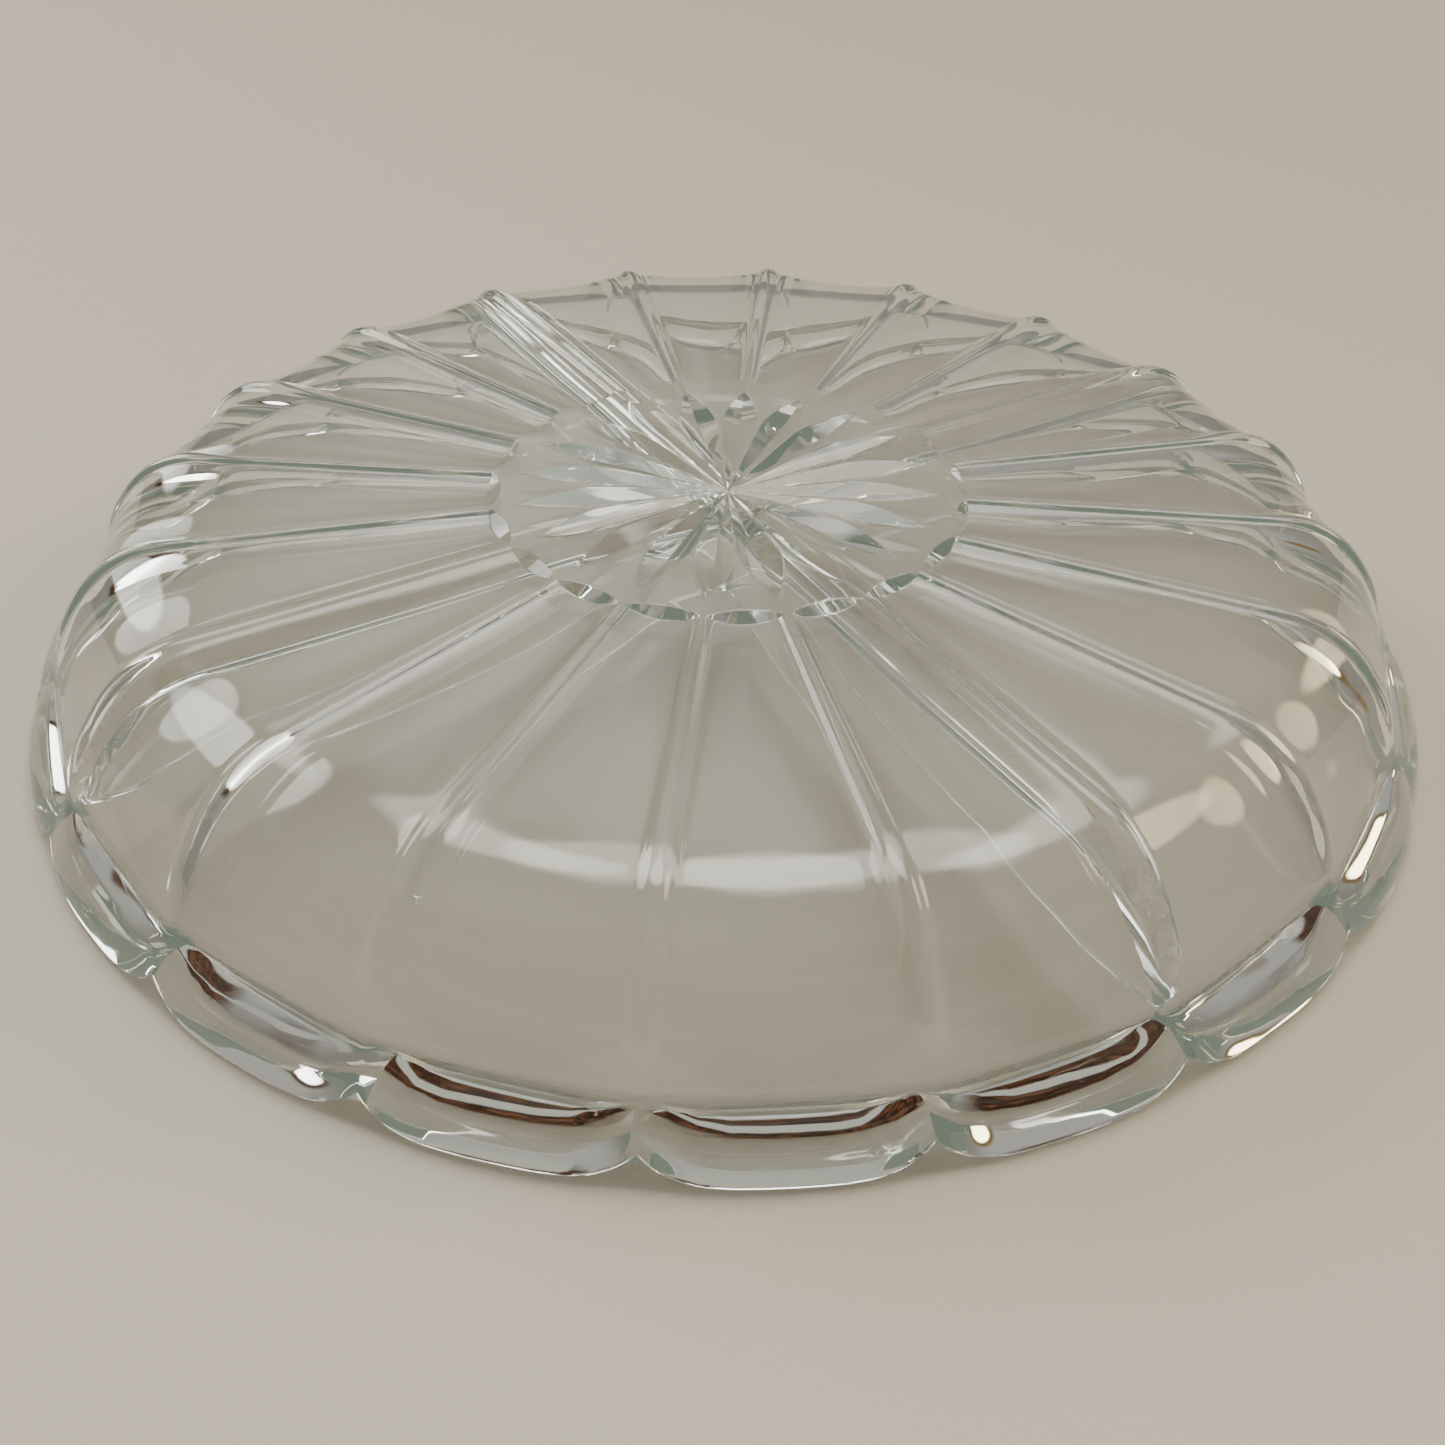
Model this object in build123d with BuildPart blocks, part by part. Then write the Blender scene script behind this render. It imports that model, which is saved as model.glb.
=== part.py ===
from build123d import *
import os

# Divided serving dish of pressed glass, lying rim down. +Z runs from the rim plane at z = 0
# up to the underside of the dish, the origin is the centre of the rim plane, sizes are in mm.
# The four dividers run along +X, +Y, -X and -Y from the centre to the wall.

# Driving dimensions
RIB_COUNT = 20
LOBE_R = 125.0              # rim radius at the middle of a scallop
NOTCH_R = 123.4             # rim radius in the notch between two scallops
NOTCH_Z = 4.2               # how high the rim rises in the notches
HEIGHT = 32.8               # rim plane to the tops of the ribs on the underside
FLUTE_DEPTH = 1.5           # how far the panels lie below the rib tops
GLASS = 4.0                 # thickness of the base

# Underside and wall, outside
DISC_R = 40.4               # raised centre disc that carries the star
BEVEL_R = 43.6              # foot of the bevel round the disc
BASE_R = 94.3               # where the flat underside starts to turn down into the wall
LEDGE_R = 118.2             # foot of the wall, where the scalloped rim begins
LEDGE_Z = 10.4
BAND_R = 121.5              # outer edge of the ledge
BAND_Z = 8.6
RIM_EDGE = 0.7              # height of the small bevel at the rim's edge

# Inside of the dish
FLOOR_R = 90.2
RIM_IN_R = 117.7            # the rim is thick, and its inner side stands nearly upright
RIM_RISE = 0.5              # how far the rim's underside rises to its inner edge
RIM_LAND = 1.0              # width of the flat land on which the rim rests
WALL_IN_R = 116.8           # inner radius low in the wall
WALL_IN_Z = 7.5

# Ribs
RIB_START_R = 43.0
RIB_INNER_WIDTH = 2.2
RIB_OUTER_WIDTH = 3.8
RIB_FLAT_R = 96.3
RIB_FOOT_R = 118.9
RIB_FOOT_Z = 11.2
RIB_END_R = 118.4           # inner end of a rib's foot in the notch
RIB_ROOT = 2.6              # how deep a rib's body reaches into the glass of the base
RIB_SINK = 0.9              # how far its body stays from the inside of the wall

# Scallops: the rim is cut back in plan beside each rib, and rises there in a rounded V
NOTCH_HALF_WIDTH = 6.0
RISE_HALF_WIDTH = 9.5

# Star cut in the centre disc
RAY_WIDE_R = 24.5           # radius where the rays are widest
RAY_TIP_R = 36.9
RAY_HUB_R = 2.0
RAY_DEPTH = 1.5
RAY_TIP_DEPTH = 0.15

# Dividers
CREST_Z = 8.4               # the dividers stop short of the rim plane
CREST_RADIUS = 1.7
DIVIDER_ROOT_HALF = 2.9
DIVIDER_ROOT_Z = 23.8
DIVIDER_FILLET_HALF = 6.4

PANEL_Z = HEIGHT - FLUTE_DEPTH
FLOOR_Z = PANEL_Z - GLASS
REACH = 150.0               # longer than any radius of the dish

os.makedirs("parts", exist_ok=True)


def outer_wall():
    """Outside of the dish along a panel, from the centre to the rim."""
    Polyline((0, HEIGHT), (DISC_R, HEIGHT), (BEVEL_R, PANEL_Z), (BASE_R, PANEL_Z))
    Spline(
        (BASE_R, PANEL_Z), (105.6, 28.2), (112.2, 21.4), (LEDGE_R, LEDGE_Z),
        tangents=((1, 0), (0.35, -1)),
    )
    Line((LEDGE_R, LEDGE_Z), (BAND_R, BAND_Z))
    Spline(
        (BAND_R, BAND_Z), (123.9, 5.2), (LOBE_R, RIM_EDGE),
        tangents=((1, -0.7), (0.1, -1)),
    )


def inner_wall():
    """Inside of the dish, from the rim to the centre."""
    Spline(
        (RIM_IN_R, RIM_RISE), (WALL_IN_R, WALL_IN_Z), (108.6, 19.9), (FLOOR_R, FLOOR_Z),
        tangents=((-0.1, 1), (-1, 0)),
    )
    Line((FLOOR_R, FLOOR_Z), (0, FLOOR_Z))


def rib_crest():
    """Outer edge of a rib, from its square inner end down to the notch in the rim."""
    Line((RIB_START_R, HEIGHT), (RIB_FLAT_R, HEIGHT))
    Spline(
        (RIB_FLAT_R, HEIGHT), (106.8, 30.1), (113.6, 23.3), (RIB_FOOT_R, RIB_FOOT_Z),
        tangents=((1, 0), (0.25, -1)),
    )
    Spline(
        (RIB_FOOT_R, RIB_FOOT_Z), (NOTCH_R, NOTCH_Z),
        tangents=((0.25, -1), (0.5, -1)),
    )


# One rib: its side outline, cut to a plan that widens towards the rim
with BuildPart() as rib:
    with BuildSketch(Plane.XZ):
        with BuildLine():
            rib_crest()
            Line((NOTCH_R, NOTCH_Z), (RIB_END_R, NOTCH_Z))
            Spline(
                (RIB_END_R, NOTCH_Z), (WALL_IN_R + RIB_SINK, WALL_IN_Z), (109.8, 20.9),
                (FLOOR_R, PANEL_Z - RIB_ROOT),
                tangents=((-0.1, 1), (-1, 0)),
            )
            Line((FLOOR_R, PANEL_Z - RIB_ROOT), (RIB_START_R, PANEL_Z - RIB_ROOT))
            Line((RIB_START_R, PANEL_Z - RIB_ROOT), (RIB_START_R, HEIGHT))
        make_face()
    extrude(amount=RIB_OUTER_WIDTH, both=True)
    with BuildSketch(Plane.XY):
        with BuildLine():
            Polyline(
                (RIB_START_R, -RIB_INNER_WIDTH / 2), (LOBE_R, -RIB_OUTER_WIDTH / 2),
                (LOBE_R, RIB_OUTER_WIDTH / 2), (RIB_START_R, RIB_INNER_WIDTH / 2),
                close=True,
            )
        make_face()
    extrude(amount=HEIGHT, mode=Mode.INTERSECT)

# What is taken out of the rim at each rib: a notch with a rounded shoulder on both sides,
# in plan and then as seen from outside
with BuildPart() as notch:
    with BuildSketch(Plane.XY.offset(-1)):
        with BuildLine():
            ThreePointArc(
                (NOTCH_R, 0), (NOTCH_R + 1.1, NOTCH_HALF_WIDTH * 0.4), (LOBE_R, NOTCH_HALF_WIDTH)
            )
            Polyline(
                (LOBE_R, NOTCH_HALF_WIDTH), (REACH, NOTCH_HALF_WIDTH),
                (REACH, -NOTCH_HALF_WIDTH), (LOBE_R, -NOTCH_HALF_WIDTH),
            )
            ThreePointArc(
                (LOBE_R, -NOTCH_HALF_WIDTH), (NOTCH_R + 1.1, -NOTCH_HALF_WIDTH * 0.4), (NOTCH_R, 0)
            )
        make_face()
    extrude(amount=LEDGE_Z)
    with BuildSketch(Plane.YZ.offset(RIM_IN_R - 8)):
        with BuildLine():
            ThreePointArc(
                (-RISE_HALF_WIDTH, 0), (-RISE_HALF_WIDTH / 3, NOTCH_Z / 2), (0, NOTCH_Z)
            )
            ThreePointArc(
                (0, NOTCH_Z), (RISE_HALF_WIDTH / 3, NOTCH_Z / 2), (RISE_HALF_WIDTH, 0)
            )
            Polyline(
                (RISE_HALF_WIDTH, 0), (RISE_HALF_WIDTH, -1), (-RISE_HALF_WIDTH, -1),
                (-RISE_HALF_WIDTH, 0),
            )
        make_face()
    extrude(amount=REACH - RIM_IN_R)

# One ray of the star: a V groove, narrow at the hub, widest at RAY_WIDE_R, pointed at the tip
RAY_SECTIONS = (
    (RAY_HUB_R, RAY_TIP_DEPTH), (RAY_WIDE_R, RAY_DEPTH), (RAY_TIP_R, RAY_TIP_DEPTH),
)
RAY_FLARE = 2.4             # half width of a groove for each mm of its depth
RAY_CLEAR = 0.5             # how far the groove's cutter stands above the disc

with BuildPart() as ray:
    for station, depth in RAY_SECTIONS:
        half_width = RAY_FLARE * (depth + RAY_CLEAR)
        with BuildSketch(Plane(origin=(station, 0, HEIGHT), x_dir=(0, 1, 0), z_dir=(1, 0, 0))):
            with BuildLine():
                Polyline(
                    (-half_width, RAY_CLEAR), (0, -depth), (half_width, RAY_CLEAR), close=True
                )
            make_face()
    loft(ruled=True)

# The dish without its dividers
with BuildPart() as bowl:
    with BuildSketch(Plane.XZ):
        with BuildLine():
            outer_wall()
            Line((LOBE_R, RIM_EDGE), (LOBE_R - RIM_EDGE, 0))
            Line((LOBE_R - RIM_EDGE, 0), (LOBE_R - RIM_EDGE - RIM_LAND, 0))
            Line((LOBE_R - RIM_EDGE - RIM_LAND, 0), (RIM_IN_R, RIM_RISE))
            inner_wall()
            Line((0, FLOOR_Z), (0, HEIGHT))
        make_face()
    revolve(axis=Axis.Z)
    with PolarLocations(0, RIB_COUNT, start_angle=0):
        add(notch.part, mode=Mode.SUBTRACT)
    with PolarLocations(0, RIB_COUNT, start_angle=0):
        add(rib.part)
    with PolarLocations(0, RIB_COUNT, start_angle=0):
        add(ray.part, mode=Mode.SUBTRACT)

bowl.part.label = "bowl"
export_step(bowl.part, "parts/bowl.step")

# The room inside the dish, which trims each divider against the floor and the wall
with BuildPart() as cavity:
    with BuildSketch(Plane.XZ):
        with BuildLine():
            inner_wall()
            Polyline((0, FLOOR_Z), (0, RIM_RISE), (RIM_IN_R, RIM_RISE))
        make_face()
    revolve(axis=Axis.Z)

# One divider along +X, mitred at 45 degrees where the four meet at the centre
with BuildPart() as divider:
    with BuildSketch(Plane.YZ):
        with BuildLine():
            crest_turn = CREST_Z + CREST_RADIUS
            ThreePointArc((-CREST_RADIUS, crest_turn), (0, CREST_Z), (CREST_RADIUS, crest_turn))
            Line((CREST_RADIUS, crest_turn), (DIVIDER_ROOT_HALF, DIVIDER_ROOT_Z))
            Spline(
                (DIVIDER_ROOT_HALF, DIVIDER_ROOT_Z), (DIVIDER_FILLET_HALF, FLOOR_Z),
                tangents=((DIVIDER_ROOT_HALF - CREST_RADIUS, DIVIDER_ROOT_Z - crest_turn), (1, 0)),
            )
            Polyline(
                (DIVIDER_FILLET_HALF, FLOOR_Z), (DIVIDER_FILLET_HALF, HEIGHT),
                (-DIVIDER_FILLET_HALF, HEIGHT), (-DIVIDER_FILLET_HALF, FLOOR_Z),
            )
            Spline(
                (-DIVIDER_FILLET_HALF, FLOOR_Z), (-DIVIDER_ROOT_HALF, DIVIDER_ROOT_Z),
                tangents=((1, 0), (DIVIDER_ROOT_HALF - CREST_RADIUS, crest_turn - DIVIDER_ROOT_Z)),
            )
            Line((-DIVIDER_ROOT_HALF, DIVIDER_ROOT_Z), (-CREST_RADIUS, crest_turn))
        make_face()
    extrude(amount=LOBE_R)
    with BuildSketch(Plane.XY):
        with BuildLine():
            Polyline((0, 0), (REACH, -REACH), (REACH, REACH), close=True)
        make_face()
    extrude(amount=HEIGHT, mode=Mode.INTERSECT)
    add(cavity.part, mode=Mode.INTERSECT)

DIVIDER_ANGLES = {
    "divider_right": 0, "divider_back": 90, "divider_left": 180, "divider_front": 270,
}
for name, angle in DIVIDER_ANGLES.items():
    with BuildPart() as placed:
        with Locations(Rotation(0, 0, angle)):
            add(divider.part)
    placed.part.label = name
    export_step(placed.part, f"parts/{name}.step")
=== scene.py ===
import math

import bmesh
import bpy
import numpy as np
from mathutils import Matrix, Vector


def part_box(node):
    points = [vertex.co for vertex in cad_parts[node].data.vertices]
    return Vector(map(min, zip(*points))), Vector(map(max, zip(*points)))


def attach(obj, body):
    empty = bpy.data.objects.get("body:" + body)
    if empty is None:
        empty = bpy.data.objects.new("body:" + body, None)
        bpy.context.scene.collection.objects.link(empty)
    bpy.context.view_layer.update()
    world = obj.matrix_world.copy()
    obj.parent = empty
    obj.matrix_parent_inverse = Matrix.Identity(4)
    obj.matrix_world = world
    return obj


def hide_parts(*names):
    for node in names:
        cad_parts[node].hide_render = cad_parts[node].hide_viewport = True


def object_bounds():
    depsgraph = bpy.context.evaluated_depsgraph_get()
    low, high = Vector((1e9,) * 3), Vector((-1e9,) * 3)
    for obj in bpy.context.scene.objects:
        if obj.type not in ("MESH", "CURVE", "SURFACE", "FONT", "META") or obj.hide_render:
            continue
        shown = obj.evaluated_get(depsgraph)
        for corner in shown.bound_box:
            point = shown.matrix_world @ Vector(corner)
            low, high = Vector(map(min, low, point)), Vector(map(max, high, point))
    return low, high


# A divided serving dish of pressed glass, lying rim down on a pale table.
# The glass is one closed mesh, worked out in millimetres and scaled to metres at the end.
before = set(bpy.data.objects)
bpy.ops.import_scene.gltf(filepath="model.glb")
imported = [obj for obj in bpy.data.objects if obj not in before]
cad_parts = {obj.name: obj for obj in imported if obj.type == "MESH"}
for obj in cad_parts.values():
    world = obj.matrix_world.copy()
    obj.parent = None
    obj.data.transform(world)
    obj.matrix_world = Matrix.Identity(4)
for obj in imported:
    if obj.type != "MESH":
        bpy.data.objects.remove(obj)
cad_low, cad_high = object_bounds()

MM = 0.001

# Sizes of the pressing, in mm. The outer ones come from the frame.
HEIGHT = cad_high.z / MM                 # rim plane to the rib tops
LOBE_R = cad_high.x / MM + 0.15          # the frame's box ends beside a notch, just short of a lobe
NOTCH_R = LOBE_R - 1.6
NOTCH_Z = 4.2                            # how high the rim rises in a notch
RIBS = 20
PITCH = math.tau / RIBS
FLOOR_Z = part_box("divider_right")[1].z / MM
CREST_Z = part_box("divider_right")[0].z / MM
FLUTE_DEPTH = 1.6                        # middle of a panel below the rib tops
DISC_R = 40.4
BEVEL_IN = 2.1                           # the bevel's inner edge bulges inwards in each panel
BEVEL_OUT = 0.4
RIB_START_R = 42.4
RIM_ROUND = 0.7
RIM_IN_R = 117.7                         # inner edge of the thick rim
RIM_RISE = 0.5                           # how far the rim's underside rises to its inner edge
RIM_LAND = 1.0                           # flat part of the underside that touches the table
LEDGE_ROUND = 0.45                       # the ledge's corners are rounded over this much

# Star cut in the disc
RAY_WIDE_R = 24.5
RAY_TIP_R = 37.0
RAY_SLOPE = 0.4                          # fall of a ray's sides
STAR_DISH = 1.3                          # how far the middle of the star lies below its edge

# An air bubble trapped in the wall
BUBBLE = (-85.39, -64.57, 26.46)
BUBBLE_R = 0.65

# Mesh density
HALF = 16                                # columns from a rib's middle to a panel's middle
COLUMNS = 2 * HALF * RIBS


def smooth(t):
    t = np.clip(t, 0, 1)
    return t * t * (3 - 2 * t)


def spline(points, samples):
    """Natural cubic curve through points, as evenly spaced samples along its chords."""
    p = np.array(points, float)
    step = np.linalg.norm(np.diff(p, axis=0), axis=1)
    s = np.concatenate([[0], np.cumsum(step)])
    n = len(p)
    a = np.zeros((n, n))
    b = np.zeros((n, p.shape[1]))
    a[0, 0] = a[-1, -1] = 1
    for i in range(1, n - 1):
        a[i, i - 1] = step[i - 1]
        a[i, i] = 2 * (step[i - 1] + step[i])
        a[i, i + 1] = step[i]
        b[i] = 6 * ((p[i + 1] - p[i]) / step[i] - (p[i] - p[i - 1]) / step[i - 1])
    m = np.linalg.solve(a, b)
    t = np.linspace(0, s[-1], samples)
    k = np.clip(np.searchsorted(s, t, side="right") - 1, 0, n - 2)
    h, d = step[k][:, None], (t - s[k])[:, None]
    e = h - d
    return (
        m[k] * e ** 3 / (6 * h) + m[k + 1] * d ** 3 / (6 * h)
        + (p[k] / h - m[k] * h / 6) * e + (p[k + 1] / h - m[k + 1] * h / 6) * d
    )


def rounded(points, radius, steps=6):
    """A polyline whose inner corners are rounded over about radius on each side."""
    p = np.array(points, float)
    line = [p[0]]
    for before, corner, after in zip(p, p[1:], p[2:]):
        a = (before - corner) / np.linalg.norm(before - corner)
        b = (after - corner) / np.linalg.norm(after - corner)
        for t in np.linspace(0, 1, steps + 1):
            line.append(corner + radius * ((1 - t) ** 2 * a + t ** 2 * b))
    line.append(p[-1])
    return np.array(line)


# ---------------------------------------------------------------- outside of the dish
RIB_TOP_COLUMNS = 5
RIB_STEPS = np.array([0, 0.42, 0.78, 1.08, 1.38, 1.8])      # column offsets, in rib half widths
RIB_FALL = np.array([0, 0.05, 0.24, 0.54, 0.84, 1.0])       # how far each has dropped to the flute
# The bevel round the disc, with a small round at its foot and its top: place across it, and fall
BEVEL = [(-0.12, 0), (-0.04, 0.01), (0.06, 0.05), (0.16, 0.16), (0.5, 0.5), (0.84, 0.84),
         (0.94, 0.95), (1.04, 0.99), (1.12, 1)]
FLUTE_EDGE = 0.5                                            # flute depth beside a rib, as a share


def rib_half_width(r):
    return np.interp(r, [42, 122], [1.1, 1.75])


def flute_depth(r):
    return np.interp(r, [44, 62], [1.3, FLUTE_DEPTH])


def column_angles(r):
    """Angles of columns 0 to HALF from a rib's middle, at radius r."""
    half = PITCH / 2
    if r < DISC_R:
        full = 0.94 * half
        wide = full * RAY_WIDE_R
        out = np.clip((r - RAY_WIDE_R) / (RAY_TIP_R - RAY_WIDE_R), 0, 1)
        leaf = full if r <= RAY_WIDE_R else max(wide * (1 - out ** 1.7) / r, 0.05 * half)
        j = np.arange(HALF + 1)
        inner, cut = j[j <= 10] / 10, 10
        rest = (j[j > 10] - 10) / (HALF - 10)
        star = np.concatenate([inner * leaf, leaf + rest * (half - leaf)])
        return star, leaf
    w = rib_half_width(r)
    foot = RIB_STEPS * w / r
    rest = np.linspace(0, 1, HALF - RIB_TOP_COLUMNS + 1)[1:]
    return np.concatenate([foot, foot[-1] + rest * (half - foot[-1])]), None


def flute_share():
    """How deep each column lies between the rib top, 0, and the middle of the flute, 1."""
    rest = np.linspace(0, 1, HALF - RIB_TOP_COLUMNS + 1)[1:]
    return np.concatenate([
        RIB_FALL * FLUTE_EDGE, FLUTE_EDGE + (1 - FLUTE_EDGE) * (1 - (1 - rest) ** 2)
    ])


def lobe_share(angles, lowness):
    """How far a lobe has come from the notch, 0, to its middle, 1. Lower down it is squarer."""
    t = np.clip(angles / (PITCH / 2) / (1 - 0.12 * lowness), 0, 1)
    return 1 - (1 - t) ** (2 + 1.8 * lowness)


def outer_rows():
    """Rows of (radius, height, angle) for columns 0 to HALF, from the disc's middle outwards."""
    rows = []
    # the star
    radii = [1.0, 2.2, 4, 6, 8.5, 11, 14, 17, 20, 22.5, 24, 26, 28, 30, 31.8, 33.2, 34.4, 35.3,
             36, 36.5, 37.4, 38.6]
    for r in radii:
        angles, leaf = column_angles(r)
        half_leaf = leaf * r if r < RAY_TIP_R - 0.2 else 0
        cut = RAY_SLOPE * np.clip(half_leaf - angles * r, 0, None)
        dish = STAR_DISH * (1 - smooth(r / RAY_WIDE_R))
        rows.append((np.full(HALF + 1, r), HEIGHT - dish - cut, angles))
    # the bevel round the disc, deepest at the middle of each panel
    share = flute_share()
    flat_r = 92.0
    angles, _ = column_angles(RIB_START_R)
    rows.append((np.full(HALF + 1, DISC_R - 1.2), np.full(HALF + 1, HEIGHT), angles))
    for t, fall in BEVEL:
        r = RIB_START_R - BEVEL_IN * share + (BEVEL_IN + BEVEL_OUT) * share * t
        rows.append((r, HEIGHT - flute_depth(DISC_R) * share * fall, angles))
    for r in np.linspace(45, flat_r, 9):
        angles, _ = column_angles(r)
        rows.append((np.full(HALF + 1, r), HEIGHT - flute_depth(r) * share, angles))
    # the shoulder and the wall
    crest = spline([(94.3, HEIGHT), (97.4, 32.75), (101.9, 32.1), (106.8, 30.0), (110.7, 26.9),
                    (113.6, 23.4), (116.0, 19.7), (117.6, 15.8), (118.9, 11.2)], 27)
    panel = spline([(94.3, HEIGHT - FLUTE_DEPTH), (97.4, 31.0), (100.8, 30.3), (104.9, 28.4),
                    (108.5, 25.5), (111.4, 22.1), (113.9, 18.4), (116.0, 14.6), (117.9, 11.2)], 27)
    for i in range(1, len(crest)):
        late = smooth((i - 18) / 8)
        angles, _ = column_angles(crest[i][0])
        lobe = lobe_share(angles, 0)
        f = share * (1 - late) + lobe * late
        p = crest[i] + f[:, None] * (panel[i] - crest[i])
        rows.append((p[:, 0], p[:, 1], angles))
    # the ledge, which is a crisp step in each panel, then the lobes and the rim's round edge
    ledge_crest = rounded([(118.9, 11.2), (119.35, 10.5), (120.2, 9.3), (120.8, 8.4)], LEDGE_ROUND)
    ledge_panel = rounded([(117.9, 11.2), (118.1, 10.6), (121.8, 8.1), (122.8, 6.9)], LEDGE_ROUND)
    band_crest = spline([(120.8, 8.4), (121.7, 7.0), (122.6, 5.7), (NOTCH_R, NOTCH_Z + RIM_ROUND)], 14)
    band_panel = spline([(122.8, 6.9), (123.4, 5.7), (124.2, 4.0), (124.7, 2.2),
                         (LOBE_R, RIM_ROUND)], 14)
    turn = np.linspace(0, math.pi / 2, 5)
    round_off = np.stack([RIM_ROUND * (np.cos(turn) - 1), RIM_ROUND * (1 - np.sin(turn))], axis=1)
    rim_crest = np.array([(NOTCH_R, NOTCH_Z)]) + round_off
    rim_panel = np.array([(LOBE_R, 0)]) + round_off
    crest = np.concatenate([ledge_crest[1:], band_crest[1:], rim_crest[1:]])
    panel = np.concatenate([ledge_panel[1:], band_panel[1:], rim_panel[1:]])
    for i in range(len(crest)):
        s = smooth((i + 1) / (len(crest) - 4))
        angles, _ = column_angles(crest[i][0])
        f = lobe_share(angles, s)
        p = crest[i] + f[:, None] * (panel[i] - crest[i])
        rows.append((p[:, 0], p[:, 1], angles))
    return rows


def full_ring(row):
    """Repeats a half pitch all round, as an array of points."""
    r, z, a = row
    points = []
    for k in range(RIBS):
        centre = k * PITCH
        up = slice(0, HALF)
        points.append(np.stack([r[up], z[up], centre + a[up]], axis=1))
        back = slice(HALF, 0, -1)
        points.append(np.stack([r[back], z[back], centre + PITCH - a[back]], axis=1))
    p = np.concatenate(points)
    return np.stack([p[:, 0] * np.cos(p[:, 2]), p[:, 0] * np.sin(p[:, 2]), p[:, 1]], axis=1)


# ---------------------------------------------------------------- inside, with the dividers
CREST_ROUND = 1.7
SIDE_HALF = 2.9
SIDE_Z = FLOOR_Z - 4.1
ROOT_HALF = 6.8
PATCH_HALF = 16.0
BLEND = 2.5                              # mm over which the dividers run into the wall


def divider_profile():
    """Half of a divider's cross-section as offsets and heights, from the crest to the floor."""
    turn = np.radians(np.linspace(0, 84, 6))
    crest = [(CREST_ROUND * math.sin(t), CREST_Z + CREST_ROUND * (1 - math.cos(t))) for t in turn]
    side = [(np.interp(t, [0, 1], [crest[-1][0], SIDE_HALF]),
             np.interp(t, [0, 1], [crest[-1][1], SIDE_Z])) for t in (0.25, 0.5, 0.75, 1)]
    bend = []
    for t in np.linspace(0, 1, 9)[1:]:
        a = t * math.pi / 2
        bend.append((SIDE_HALF + (ROOT_HALF - SIDE_HALF) * (1 - math.cos(a)),
                     SIDE_Z + (FLOOR_Z - SIDE_Z) * math.sin(a)))
    return np.array(crest + side + bend)


PROFILE = divider_profile()
ZONE = len(PROFILE) - 1                  # columns over half a divider
FREE = 20                                # columns from a divider's root to the diagonal
OCTANT = ZONE + FREE


def divider_rise(offset):
    """How far the divider stands off the floor, at a distance from its middle plane."""
    return FLOOR_Z - np.interp(offset, PROFILE[:, 0], PROFILE[:, 1])


def grid_lines():
    free = ROOT_HALF + (PATCH_HALF - ROOT_HALF) * np.arange(1, FREE + 1) / FREE
    return np.concatenate([PROFILE[:, 0], free])


def octant(rho, squareness):
    """Points of columns 0 to OCTANT of a ring: a square's side for 1, a circle's arc for 0."""
    share = np.arange(1, FREE + 1) / FREE
    free = ROOT_HALF + share * (rho - ROOT_HALF)
    square = np.stack([np.full(OCTANT + 1, rho), np.concatenate([PROFILE[:, 0], free])], axis=1)
    angle = np.arcsin(PROFILE[:, 0] / rho)
    angle = np.concatenate([angle, angle[-1] + share * (math.pi / 4 - angle[-1])])
    circle = rho * np.stack([np.cos(angle), np.sin(angle)], axis=1)
    return squareness * square + (1 - squareness) * circle


# Profile of the inner wall from the rim to the floor, as radii and heights
WALL = [(RIM_IN_R - 0.05, RIM_RISE + 0.8), (117.5, 2.8), (117.3, 4.2), (117.0, 6.4), (116.5, 8.7),
        (115.4, 11.0), (113.8, 13.6), (111.4, 16.9), (108.6, 19.9), (104.8, 23.4), (99.8, 26.0),
        (94.7, 27.1), (90.2, FLOOR_Z)]
WALL_STEPS = 44
LIFT_TOP = 10.5                          # the notches are felt in the inner wall up to here


def around(q, points):
    """Turns points of the first quarter into quarter q."""
    c, s = round(math.cos(q * math.pi / 2)), round(math.sin(q * math.pi / 2))
    return np.stack([c * points[:, 0] - s * points[:, 1], s * points[:, 0] + c * points[:, 1],
                     points[:, 2]], axis=1)


def wall_ring(rho, height, profile):
    """A ring of the inner wall, raised at the notches along the wall's profile."""
    p = octant(rho, 0)
    quarter = np.concatenate([p[:-1], p[:0:-1, ::-1]])
    angle = np.arctan2(quarter[:, 1], quarter[:, 0])
    beside = np.abs(np.mod(angle + PITCH / 2, PITCH) - PITCH / 2)
    lift = NOTCH_Z * (1 - lobe_share(beside, 1)) * max(0, 1 - height / LIFT_TOP)
    z = height + lift
    across = np.interp([*z, height], profile[:, 1], profile[:, 0])
    r = rho + across[:-1] - across[-1]
    offset = quarter.min(axis=1)
    rise, wall_rise = divider_rise(offset), FLOOR_Z - z
    k = np.minimum(BLEND, 1.2 * np.minimum(rise, wall_rise)) + 1e-6
    h = np.clip(k - np.abs(rise - wall_rise), 0, None) / k
    z = FLOOR_Z - np.maximum(rise, wall_rise) - h * h * k / 4
    quarter = np.stack([r * np.cos(angle), r * np.sin(angle), z], axis=1)
    return np.concatenate([around(q, quarter) for q in range(4)])


def floor_ring(rho, squareness):
    p = octant(rho, squareness)
    quarter = np.concatenate([p[:-1], p[:0:-1, ::-1]])
    z = FLOOR_Z - divider_rise(quarter.min(axis=1))
    quarter = np.column_stack([quarter, z])
    return np.concatenate([around(q, quarter) for q in range(4)])


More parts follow.
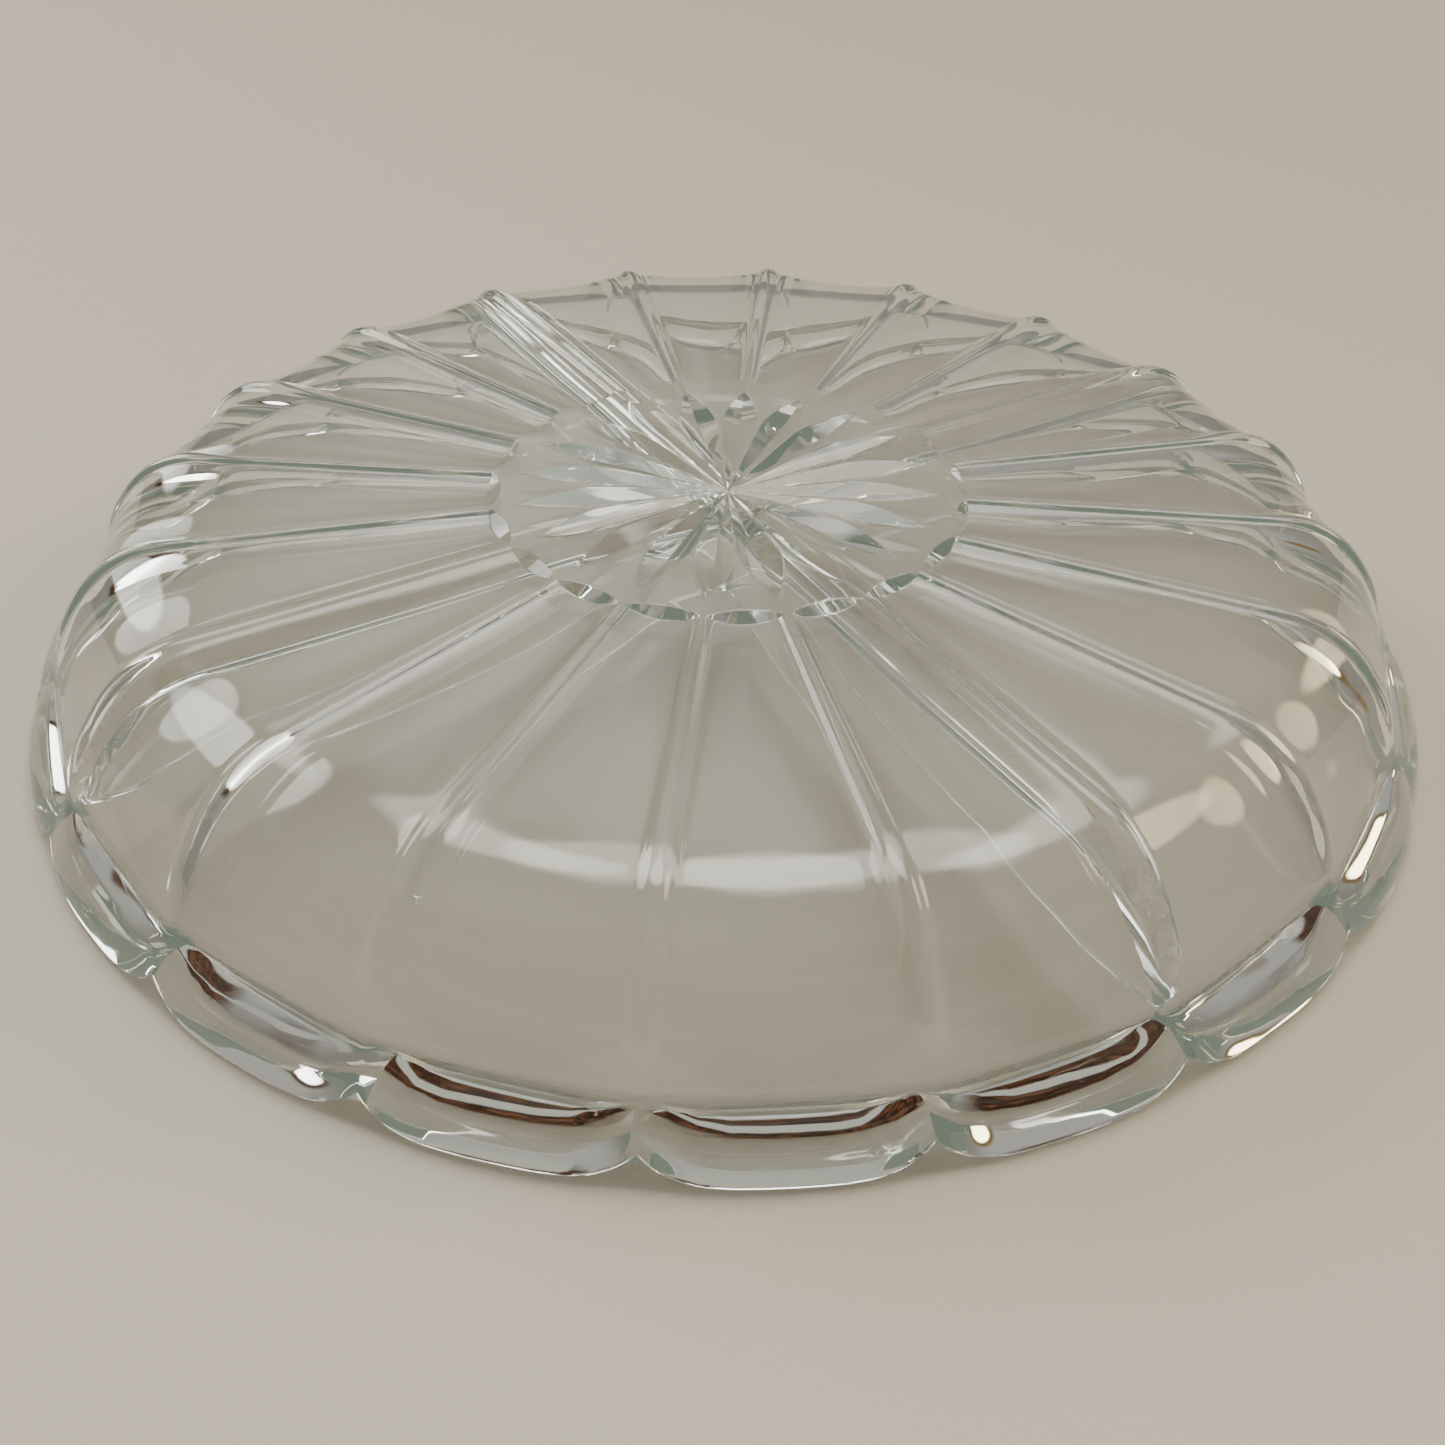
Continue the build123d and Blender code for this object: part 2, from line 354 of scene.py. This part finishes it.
def inner_rings():
    """Rings from the rim inwards to the patch under the star."""
    wall = spline(WALL, WALL_STEPS)
    wall[:, 1] = np.minimum(np.maximum.accumulate(wall[:, 1]), FLOOR_Z)
    land = LOBE_R - RIM_ROUND - RIM_LAND
    rings = []
    corner = ((0.8, -0.08), (0.4, 0.04), (0.15, 0.22), (0.02, 0.5))     # the rim's inner edge
    underside = [(land, 0), (land - 0.4, 0.02)]
    underside += [(RIM_IN_R + out, RIM_RISE + up) for out, up in corner]
    for r, z in underside + wall.tolist():
        rings.append(wall_ring(r, z, wall))
    for r in (82, 71, 58, 46, 36, 28, 21, PATCH_HALF):
        rings.append(floor_ring(r, 1 - smooth((r - PATCH_HALF) / 34)))
    return rings


# ---------------------------------------------------------------- one mesh of it all
def strip(a, b, count):
    """Quads between two rings of count vertices that start at indices a and b."""
    return [(a + i, a + (i + 1) % count, b + (i + 1) % count, b + i) for i in range(count)]


def zipper(a, angles_a, b, angles_b):
    """Triangles between two rings with different numbers of vertices, in order of angle."""
    faces = []
    i = j = 0
    na, nb = len(angles_a), len(angles_b)
    while i < na or j < nb:
        next_a = angles_a[i + 1] if i + 1 < na else math.tau
        next_b = angles_b[j + 1] if j + 1 < nb else math.tau
        if j >= nb or (i < na and next_a <= next_b):
            faces.append((a + i, a + (i + 1) % na, b + j % nb))
            i += 1
        else:
            faces.append((a + i % na, b + (j + 1) % nb, b + j))
            j += 1
    return faces


def glass_mesh():
    vertices = [np.array([[0, 0, HEIGHT - STAR_DISH]])]
    faces = []
    rows = outer_rows()
    count = 1
    starts = []
    for row in rows:
        ring = full_ring(row)
        starts.append(count)
        vertices.append(ring)
        count += len(ring)
    faces += [(0, starts[0] + i, starts[0] + (i + 1) % COLUMNS) for i in range(COLUMNS)]
    for a, b in zip(starts, starts[1:]):
        faces += strip(a, b, COLUMNS)
    outer_ring = vertices[-1]

    rings = inner_rings()
    inner_count = 8 * OCTANT
    inner_starts = []
    for ring in rings[:-1]:
        inner_starts.append(count)
        vertices.append(ring)
        count += len(ring)
    angle = lambda ring: np.mod(np.arctan2(ring[:, 1], ring[:, 0]), math.tau)
    faces += zipper(starts[-1], angle(outer_ring), inner_starts[0], angle(rings[0]))
    for a, b in zip(inner_starts, inner_starts[1:]):
        faces += strip(a, b, inner_count)

    # the patch where the four dividers meet
    lines = grid_lines()
    axis = np.concatenate([-lines[:0:-1], lines])
    side = len(axis)
    gx, gy = np.meshgrid(axis, axis, indexing="ij")
    full = FLOOR_Z - CREST_Z
    free_x = 1 - divider_rise(np.abs(gx)) / full
    free_y = 1 - divider_rise(np.abs(gy)) / full
    z = FLOOR_Z - full * (1 - free_x * free_y)
    patch_start = count
    vertices.append(np.stack([gx.ravel(), gy.ravel(), z.ravel()], axis=1))
    index = lambda i, j: patch_start + i * side + j
    for i in range(side - 1):
        for j in range(side - 1):
            faces.append((index(i, j), index(i, j + 1), index(i + 1, j + 1), index(i + 1, j)))
    mid, last = OCTANT, side - 1
    edge = (
        [index(last, j) for j in range(mid, last)] + [index(i, last) for i in range(last, 0, -1)]
        + [index(0, j) for j in range(last, 0, -1)] + [index(i, 0) for i in range(0, last)]
        + [index(last, j) for j in range(0, mid)]
    )
    a = inner_starts[-1]
    n = inner_count
    faces += [(a + i, a + (i + 1) % n, edge[(i + 1) % n], edge[i]) for i in range(n)]
    return np.concatenate(vertices) * MM, faces


points, faces = glass_mesh()
mesh = bpy.data.meshes.new("glass_dish")
mesh.from_pydata(points.tolist(), [], faces)
mesh.validate()
bm = bmesh.new()
bm.from_mesh(mesh)
bmesh.ops.recalc_face_normals(bm, faces=bm.faces)
place = Matrix.Translation(Vector(BUBBLE) * MM)
bubble = bmesh.ops.create_uvsphere(
    bm, u_segments=20, v_segments=12, radius=BUBBLE_R * MM, matrix=place
)
skin = {f for v in bubble["verts"] for f in v.link_faces}
bmesh.ops.reverse_faces(bm, faces=list(skin))       # the glass is outside it
bm.to_mesh(mesh)
bm.free()
mesh.polygons.foreach_set("use_smooth", [True] * len(mesh.polygons))
mesh.set_sharp_from_angle(angle=math.radians(24))
dish = bpy.data.objects.new("glass_dish", mesh)
bpy.context.scene.collection.objects.link(dish)


# ---------------------------------------------------------------- materials
TRAPPED_LIGHT = (0.195, 0.23, 0.18, 1)
TRAPPED_AFTER = 4.5                      # reflections
GLASS_TINT = (0.965, 0.985, 0.965, 1)
GLASS_DEPTH_TINT = (0.42, 0.62, 0.50, 1)
WAVES = 0.05 * MM                        # height of the waviness of the pressed surface
PAPER_GRAIN = 0.2 * MM


def noise(material, place, scale, detail):
    """Noise over the object's own coordinates, with about scale waves to a metre."""
    node = material.node_tree.nodes.new("ShaderNodeTexNoise")
    node.inputs["Scale"].default_value = scale
    node.inputs["Detail"].default_value = detail
    material.node_tree.links.new(place.outputs["Object"], node.inputs["Vector"])
    return node.outputs["Fac"]


def between(material, value, start, end, low, high):
    """Takes start to end of a value onto low to high."""
    node = material.node_tree.nodes.new("ShaderNodeMapRange")
    for name, number in (("From Min", start), ("From Max", end), ("To Min", low), ("To Max", high)):
        node.inputs[name].default_value = number
    material.node_tree.links.new(value, node.inputs["Value"])
    return node.outputs["Result"]


def bump(material, value, height):
    """Bumps that are height metres tall."""
    node = material.node_tree.nodes.new("ShaderNodeBump")
    node.inputs["Strength"].default_value = 0.5
    node.inputs["Distance"].default_value = height
    material.node_tree.links.new(value, node.inputs["Height"])
    return node.outputs["Normal"]


def glass_material():
    """Clear, slightly green glass. Light that is still caught inside it after many reflections
    comes out as the dim grey green of the table around it, instead of as black."""
    m = bpy.data.materials.new("pressed_glass")
    m.use_nodes = True
    nodes, links = m.node_tree.nodes, m.node_tree.links
    nodes.clear()
    out = nodes.new("ShaderNodeOutputMaterial")
    bsdf = nodes.new("ShaderNodeBsdfPrincipled")
    place = nodes.new("ShaderNodeTexCoord")
    tint = noise(m, place, 40, 2)
    tone = nodes.new("ShaderNodeMix")
    tone.data_type = "RGBA"
    tone.inputs[6].default_value = (1, 1, 1, 1)
    tone.inputs[7].default_value = GLASS_TINT
    links.new(tint, tone.inputs["Factor"])
    links.new(tone.outputs[2], bsdf.inputs["Base Color"])
    links.new(between(m, noise(m, place, 260, 5), 0.55, 0.8, 0, 0.022), bsdf.inputs["Roughness"])
    links.new(bump(m, noise(m, place, 75, 2), WAVES), bsdf.inputs["Normal"])
    bsdf.inputs["IOR"].default_value = 1.5
    bsdf.inputs["Transmission Weight"].default_value = 1.0
    bsdf.inputs["Emission Color"].default_value = TRAPPED_LIGHT
    path = nodes.new("ShaderNodeLightPath")
    deep = nodes.new("ShaderNodeMath")
    deep.operation = "GREATER_THAN"
    deep.inputs[1].default_value = TRAPPED_AFTER
    links.new(path.outputs["Glossy Depth"], deep.inputs[0])
    links.new(deep.outputs[0], bsdf.inputs["Emission Strength"])
    absorb = nodes.new("ShaderNodeVolumeAbsorption")
    absorb.inputs["Color"].default_value = GLASS_DEPTH_TINT
    absorb.inputs["Density"].default_value = 5
    links.new(bsdf.outputs[0], out.inputs["Surface"])
    links.new(absorb.outputs[0], out.inputs["Volume"])
    return m


mesh.materials.append(glass_material())
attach(dish, "root")
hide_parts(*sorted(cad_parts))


# ---------------------------------------------------------------- table
VIEW = -121.172                          # azimuth that the photo is taken from, in degrees
TABLE_SIZE = 40
TABLE_GAP = 0.05 * MM                    # keeps the table's face clear of the rim's
# The table's two colours are painted light and shade. They do not differ in the paper: near is painted
# lit, far is painted shaded.
TABLE_NEAR_LIT = (0.665, 0.61, 0.525, 1)
TABLE_FAR_SHADED = (0.525, 0.467, 0.388, 1)


def direction(azimuth, elevation):
    a, e = math.radians(azimuth), math.radians(elevation)
    return Vector((math.cos(e) * math.cos(a), math.cos(e) * math.sin(a), math.sin(e)))


def floor():
    """A table of pale paper, with painted shade: darker away from the viewer and to the right, where
    less light falls.
    """
    bpy.ops.mesh.primitive_plane_add(size=TABLE_SIZE, location=(0, 0, -TABLE_GAP))
    o = bpy.context.object
    o.name = "table_top"
    m = bpy.data.materials.new("table_paper")
    m.use_nodes = True
    nodes, links = m.node_tree.nodes, m.node_tree.links
    b = nodes["Principled BSDF"]
    place = nodes.new("ShaderNodeTexCoord")
    links.new(between(m, noise(m, place, 150, 4), 0.3, 0.7, 0.86, 0.95), b.inputs["Roughness"])
    links.new(bump(m, noise(m, place, 1400, 4), PAPER_GRAIN), b.inputs["Normal"])
    # painted shade: the table darkens along this direction, away from the viewer and to the right
    along = nodes.new("ShaderNodeVectorMath")
    along.operation = "DOT_PRODUCT"
    along.inputs[1].default_value = 0.8 * (direction(VIEW + 180, 0) + direction(VIEW + 90, 0))
    shade = nodes.new("ShaderNodeMix")
    shade.data_type = "RGBA"
    shade.inputs[6].default_value = TABLE_NEAR_LIT
    shade.inputs[7].default_value = TABLE_FAR_SHADED
    links.new(place.outputs["Object"], along.inputs[0])
    share = between(m, along.outputs["Value"], -0.15, 0.42, 0, 1)
    links.new(share, shade.inputs["Factor"])
    links.new(shade.outputs[2], b.inputs["Base Color"])
    o.data.materials.append(m)


floor()

# ---------------------------------------------------------------- camera
CAMERA_DISTANCE = 0.29813
CAMERA_ELEVATION = 34.697
CAMERA_PAN = 0.052
CAMERA_TILT = -3.208
CAMERA_ROLL = -0.866
CAMERA_LENS = 38.80


def add_camera():
    data = bpy.data.cameras.new("camera")
    cam = bpy.data.objects.new("camera", data)
    bpy.context.scene.collection.objects.link(cam)
    back = direction(VIEW, CAMERA_ELEVATION)
    ahead = -back
    right = ahead.cross(Vector((0, 0, 1))).normalized()
    up = right.cross(ahead)
    pan = Matrix.Rotation(math.radians(CAMERA_PAN), 3, up)
    ahead, right = pan @ ahead, pan @ right
    tilt = Matrix.Rotation(math.radians(CAMERA_TILT), 3, right)
    ahead, up = tilt @ ahead, tilt @ up
    roll = Matrix.Rotation(math.radians(CAMERA_ROLL), 3, ahead)
    right, up = roll @ right, roll @ up
    turn = Matrix((right, up, -ahead)).transposed()
    cam.matrix_world = Matrix.Translation(back * CAMERA_DISTANCE) @ turn.to_4x4()
    data.sensor_width = 36
    data.lens = CAMERA_LENS
    data.clip_start = 0.01
    bpy.context.scene.camera = cam


add_camera()


# ---------------------------------------------------------------- light
class Room:
    """The room around the table, painted on the world by direction."""

    def __init__(self):
        world = bpy.data.worlds.new("room")
        bpy.context.scene.world = world
        world.use_nodes = True
        self.nodes, self.links = world.node_tree.nodes, world.node_tree.links
        self.nodes.clear()
        coords = self.nodes.new("ShaderNodeTexCoord")
        self.way = coords.outputs["Generated"]

    def ramp(self, value, start, end):
        """0 at start to 1 at end, eased at both ends."""
        node = self.nodes.new("ShaderNodeMapRange")
        node.interpolation_type = "SMOOTHSTEP"
        node.inputs["From Min"].default_value = start
        node.inputs["From Max"].default_value = end
        self.links.new(value, node.inputs["Value"])
        return node.outputs["Result"]

    def height(self, start, end):
        """0 to 1 between two elevations in degrees."""
        split = self.nodes.new("ShaderNodeSeparateXYZ")
        self.links.new(self.way, split.inputs[0])
        lo, hi = math.sin(math.radians(start)), math.sin(math.radians(end))
        return self.ramp(split.outputs["Z"], lo, hi)

    def patch(self, azimuth, elevation, core, edge):
        """1 within core degrees of a direction, 0 beyond edge degrees."""
        dot = self.nodes.new("ShaderNodeVectorMath")
        dot.operation = "DOT_PRODUCT"
        self.links.new(self.way, dot.inputs[0])
        dot.inputs[1].default_value = direction(azimuth, elevation)
        start, end = (math.cos(math.radians(angle)) for angle in (edge, core))
        return self.ramp(dot.outputs["Value"], start, end)

    def cloud(self, scale, start, end):
        """Patches of noise, 0 where it is below start and 1 where it is above end."""
        node = self.nodes.new("ShaderNodeTexNoise")
        node.inputs["Scale"].default_value = scale
        node.inputs["Detail"].default_value = 4
        self.links.new(self.way, node.inputs["Vector"])
        return self.ramp(node.outputs["Fac"], start, end)

    def mix(self, factor, below, above):
        """Two colours, or sockets that give one."""
        node = self.nodes.new("ShaderNodeMix")
        node.data_type = "RGBA"
        self.links.new(factor, node.inputs["Factor"])
        for value, socket in ((below, node.inputs[6]), (above, node.inputs[7])):
            if isinstance(value, tuple):
                socket.default_value = (*value, 1)
            else:
                self.links.new(value, socket)
        return node.outputs[2]

    def finish(self, seen, reflected):
        """What the camera sees straight on, and what the glass and the table see."""
        path = self.nodes.new("ShaderNodeLightPath")
        colour = self.mix(path.outputs["Is Camera Ray"], reflected, seen)
        bg = self.nodes.new("ShaderNodeBackground")
        out = self.nodes.new("ShaderNodeOutputWorld")
        self.links.new(colour, bg.inputs["Color"])
        self.links.new(bg.outputs[0], out.inputs["Surface"])


# Colours of the room
WALLS = (0.42, 0.405, 0.37)
SKIRTING = (0.25, 0.23, 0.195)
DARK = (0.030, 0.012, 0.006)
RUST = (0.15, 0.055, 0.022)
PALE = (0.52, 0.505, 0.43)
GREENISH = (0.46, 0.50, 0.42)
GOLD = (0.20, 0.115, 0.035)
GLOW = (1.3, 1.25, 1.12)
CEILING = (7.2, 7.0, 6.5)
WINDOW = (7.0, 7.0, 6.6)
LAMP = (9.0, 7.7, 4.6)
SEEN = (0.52, 0.485, 0.43)               # behind the table, straight into the camera

# Bright things and their frames: azimuth from the view, elevation, full and outer radius, all in
# degrees, and colour. Each lies over the ones before it.
room = Room()
brown = room.mix(room.cloud(20, 0.45, 0.64), DARK, RUST)
PATCHES = [
    (190, 34, 3, 11, GLOW),
    (175, 44, 3, 9, GLOW),
    (175, 64, 10, 17, CEILING),
    (-160, 62, 5, 12, CEILING),
    (143, 62, 5, 12, CEILING),
    (-132, 30, 17, 21, brown),
    (-132, 30, 12.5, 15.5, WINDOW),
    (112, 31, 14, 19, GOLD),
    (112, 31, 9, 13, LAMP),
]
sides = room.mix(room.height(8, 34), SKIRTING, WALLS)
# the viewer's side, in bands upwards: these are the streaks in the ledges and lobes
front = room.mix(room.height(27, 28.5), brown, PALE)
front = room.mix(room.height(33, 34.5), front, brown)
front = room.mix(room.height(47, 51), front, PALE)
front = room.mix(room.height(60, 75), front, GREENISH)
light = room.mix(room.patch(VIEW - 4, 25, 50, 64), sides, front)
for azimuth, elevation, core, edge, colour in PATCHES:
    light = room.mix(room.patch(VIEW + azimuth, elevation, core, edge), light, colour)
room.finish(SEEN, light)
